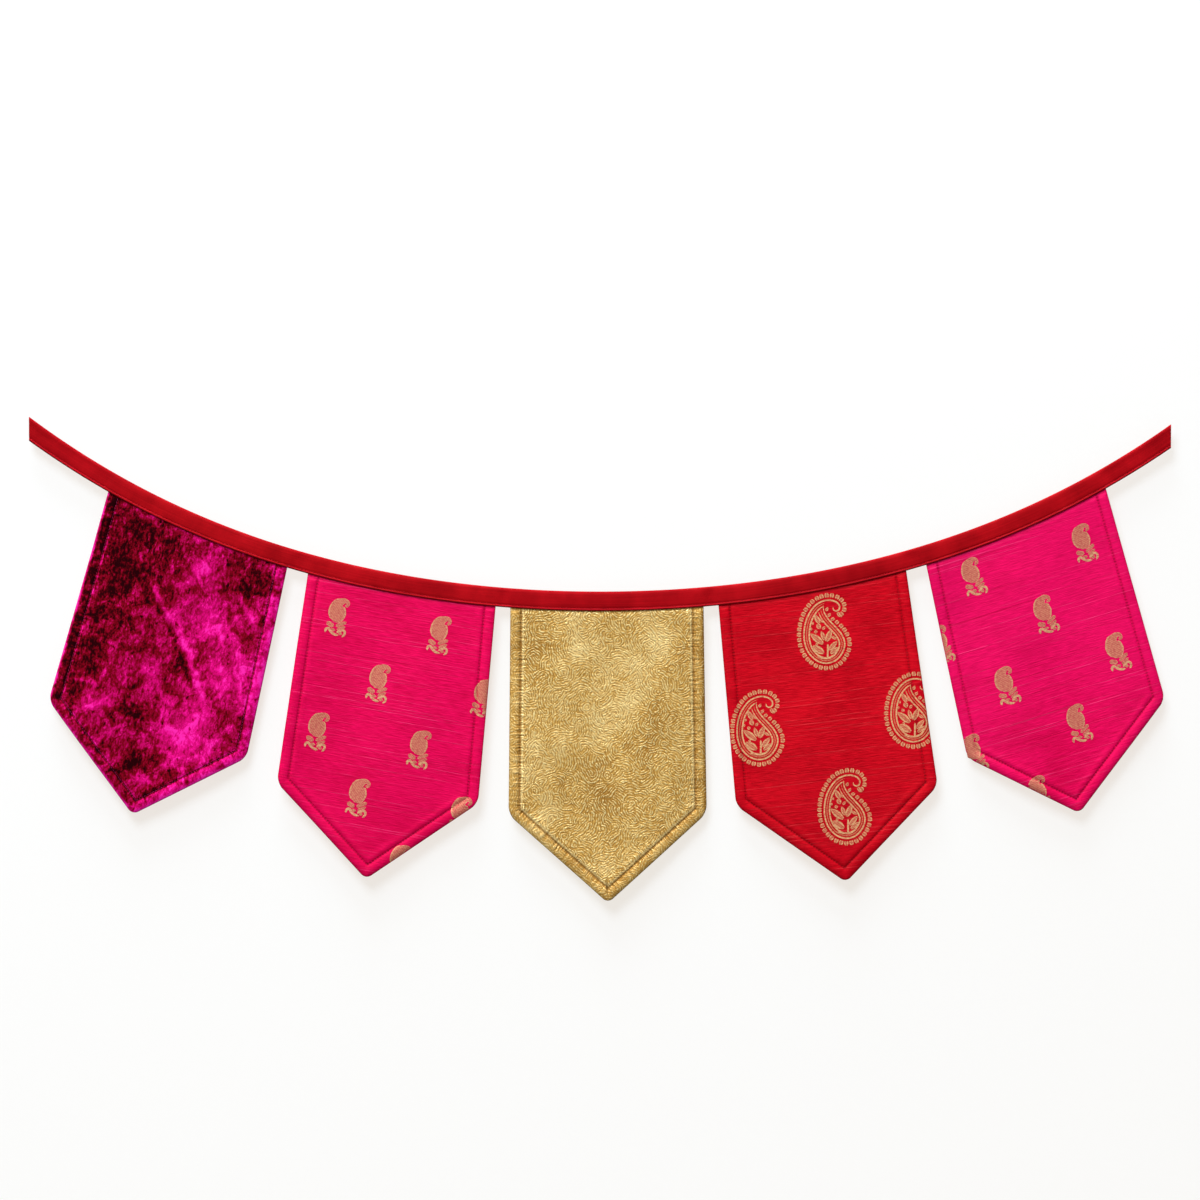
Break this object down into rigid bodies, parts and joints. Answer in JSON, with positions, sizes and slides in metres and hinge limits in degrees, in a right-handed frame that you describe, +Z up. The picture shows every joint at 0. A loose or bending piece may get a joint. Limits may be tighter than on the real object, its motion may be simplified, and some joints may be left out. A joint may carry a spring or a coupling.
{
  "type": "toran",
  "caption": "Fabric toran: a folded bias-tape band hanging in a shallow swag, with turned and topstitched pointed flags in velvet, brocade and slub silk sewn into its lower edge.",
  "frame": {"origin": "top corner of the left end of the band, where it is pinned up, in the middle of the tape's thickness", "axes": "+X runs along the toran to its right end as seen from the front, +Z is up, +Y points to the wall behind and the fronts of the flags face -Y"},
  "size_m": [0.902, 0.0092, 0.3822],
  "materials": {
    "band_cotton": "plain-weave crimson cotton tape, matt, pressed folds",
    "velvet": "crushed magenta velvet, dark maroon where the pile lies away",
    "pink_silk": "hot pink slub silk with a soft sheen",
    "gold_brocade": "gold brocade with fine swirling figures, metallic sheen",
    "red_silk": "red slub silk with a soft sheen",
    "zari_thread": "woven metallic tan-gold thread of the paisley motifs"
  },
  "bodies": {
    "root": {"band": "band_cotton", "flag_velvet": "velvet", "flag_pink_left": "pink_silk", "flag_gold": "gold_brocade", "flag_red": "red_silk", "flag_pink_right": "pink_silk"}
  },
  "joints": []
}
